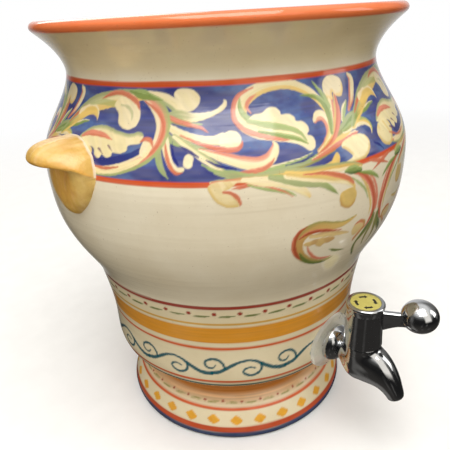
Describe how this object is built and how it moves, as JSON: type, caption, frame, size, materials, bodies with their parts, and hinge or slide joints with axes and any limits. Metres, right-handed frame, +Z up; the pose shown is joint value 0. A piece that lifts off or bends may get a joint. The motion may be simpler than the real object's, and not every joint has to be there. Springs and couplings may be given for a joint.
{
  "type": "ceramic water pot with lever tap",
  "caption": "Round glazed clay water pot with a footed drum base, swelling belly, flared rim, two finger lugs and a chrome lever tap low on the front.",
  "frame": {"origin": "centre of the foot ring on the standing plane", "axes": "+Z up through the pot's axis; the tap points along -Y; the lugs are at -X and +X"},
  "size_m": [0.3194, 0.3133, 0.3166],
  "materials": {
    "painted_glaze": "glossy cream glaze with hand-painted bands and scrolls",
    "ochre_glaze": "glossy ochre-yellow glaze, brushed",
    "clear_rubber": "cloudy silicone",
    "black_rubber": "smooth",
    "chrome_plate": "polished",
    "steel": "plain",
    "brass": "machined",
    "white_nylon": "matt",
    "pale_yellow_plastic": "printed disc"
  },
  "bodies": {
    "pot": {"pot_body": "painted_glaze", "lug_left": "ochre_glaze", "lug_right": "ochre_glaze", "outer_gasket": "clear_rubber", "inner_gasket": "clear_rubber", "rosette": "chrome_plate", "clamp_washer": "steel", "lock_nut": "brass", "tap_body": "chrome_plate", "bonnet_nut": "brass", "thrust_washer": "white_nylon"},
    "lever": {"valve_plug": "brass", "ring_seal_upper": "black_rubber", "ring_seal_lower": "black_rubber", "lever_cap": "chrome_plate", "lever_ball": "chrome_plate", "lever_screw": "steel", "lock_washer": "steel", "index_button": "chrome_plate", "index_disc": "pale_yellow_plastic"}
  },
  "joints": [
    {"name": "tap_lever", "type": "hinge", "parent": "pot", "child": "lever", "pos_m": [0, -0.13271, 0.0768], "axis": [0, 0, 1], "range_deg": [-118.5, 61.5]}
  ]
}
